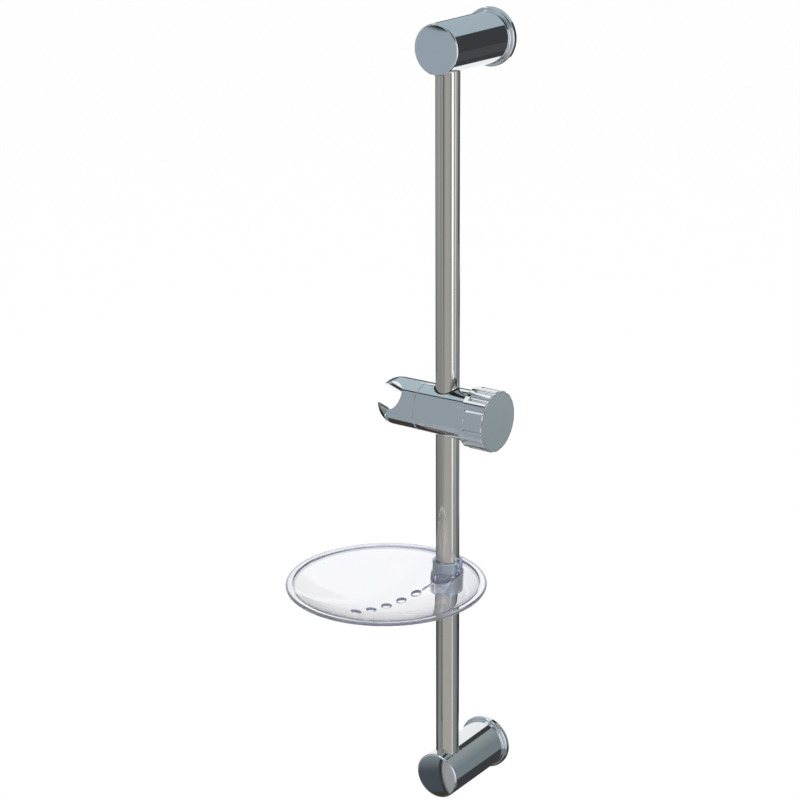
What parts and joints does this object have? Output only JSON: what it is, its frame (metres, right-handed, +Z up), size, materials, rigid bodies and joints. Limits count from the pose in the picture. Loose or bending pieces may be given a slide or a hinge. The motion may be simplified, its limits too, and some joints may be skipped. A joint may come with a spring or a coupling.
{
  "type": "shower slide rail",
  "caption": "Steel shower rail on two chromed wall brackets, with a sliding and turning handset holder clamped by a knob, and a clear swivelling soap dish.",
  "frame": {"origin": "on the wall plane, midway between the two fixing screw holes", "axes": "+X to the right for a person facing the wall, +Y into the wall, +Z up along the rail"},
  "size_m": [0.1506, 0.1873, 0.6132],
  "materials": {
    "satin_steel": "satin, brushed along the tube",
    "chrome_plating": "mirror chrome plating on moulded ABS",
    "clear_plastic": "clear polystyrene with a faint blue tint",
    "grey_plastic": "plain moulded acetal",
    "white_plastic": "plain moulded",
    "screw_steel": "zinc plated",
    "insert_brass": "turned",
    "black_rubber": "matt"
  },
  "bodies": {
    "rail": {"rail_tube": "satin_steel", "upper_tube_plug": "grey_plastic", "lower_tube_plug": "grey_plastic", "upper_bracket": "chrome_plating", "lower_bracket": "chrome_plating", "upper_wall_base": "white_plastic", "lower_wall_base": "white_plastic", "bracket_grub_screws": "screw_steel"},
    "slider_liner": {"upper_liner_ring": "grey_plastic", "lower_liner_ring": "grey_plastic"},
    "slider": {"slider_body": "chrome_plating", "threaded_insert": "insert_brass", "holder_pivot_screw": "screw_steel", "holder_friction_ring": "black_rubber"},
    "clamp": {"clamp_shoe": "grey_plastic"},
    "knob": {"control_knob": "chrome_plating", "knob_stud": "screw_steel"},
    "holder": {"handset_holder": "chrome_plating", "holder_spring_washer": "screw_steel"},
    "dish_sleeve": {"dish_bush": "clear_plastic"},
    "dish": {"soap_dish": "clear_plastic"}
  },
  "joints": [
    {"name": "slider_travel", "type": "slide", "parent": "rail", "child": "slider_liner", "axis": [0, 0, 1], "range_m": [-0.05, 0.224]},
    {"name": "slider_swivel", "type": "hinge", "parent": "slider_liner", "child": "slider", "pos_m": [0, -0.057, 0.0138], "axis": [0, 0, 1], "range_deg": [-70, 250]},
    {"name": "clamp_travel", "type": "slide", "parent": "slider", "child": "clamp", "axis": [1, 0, 0], "range_m": [0, 0.00188]},
    {"name": "knob_turn", "type": "hinge", "parent": "clamp", "child": "knob", "pos_m": [0.03, -0.057, 0.0138], "axis": [1, 0, 0], "range_deg": [0, 540]},
    {"name": "holder_tilt", "type": "hinge", "parent": "slider", "child": "holder", "pos_m": [-0.02, -0.057, 0.0138], "axis": [1, 0, 0], "continuous": true},
    {"name": "dish_travel", "type": "slide", "parent": "rail", "child": "dish_sleeve", "axis": [0, 0, 1], "range_m": [-0.127, 0.04]},
    {"name": "dish_swing", "type": "hinge", "parent": "dish_sleeve", "child": "dish", "pos_m": [0, -0.057, -0.12], "axis": [0, 0, 1], "range_deg": [-51, 88]}
  ],
  "couplings": [
    {"joint": "clamp_travel", "follows": "knob_turn", "m_per_rad": 0.00019894}
  ]
}
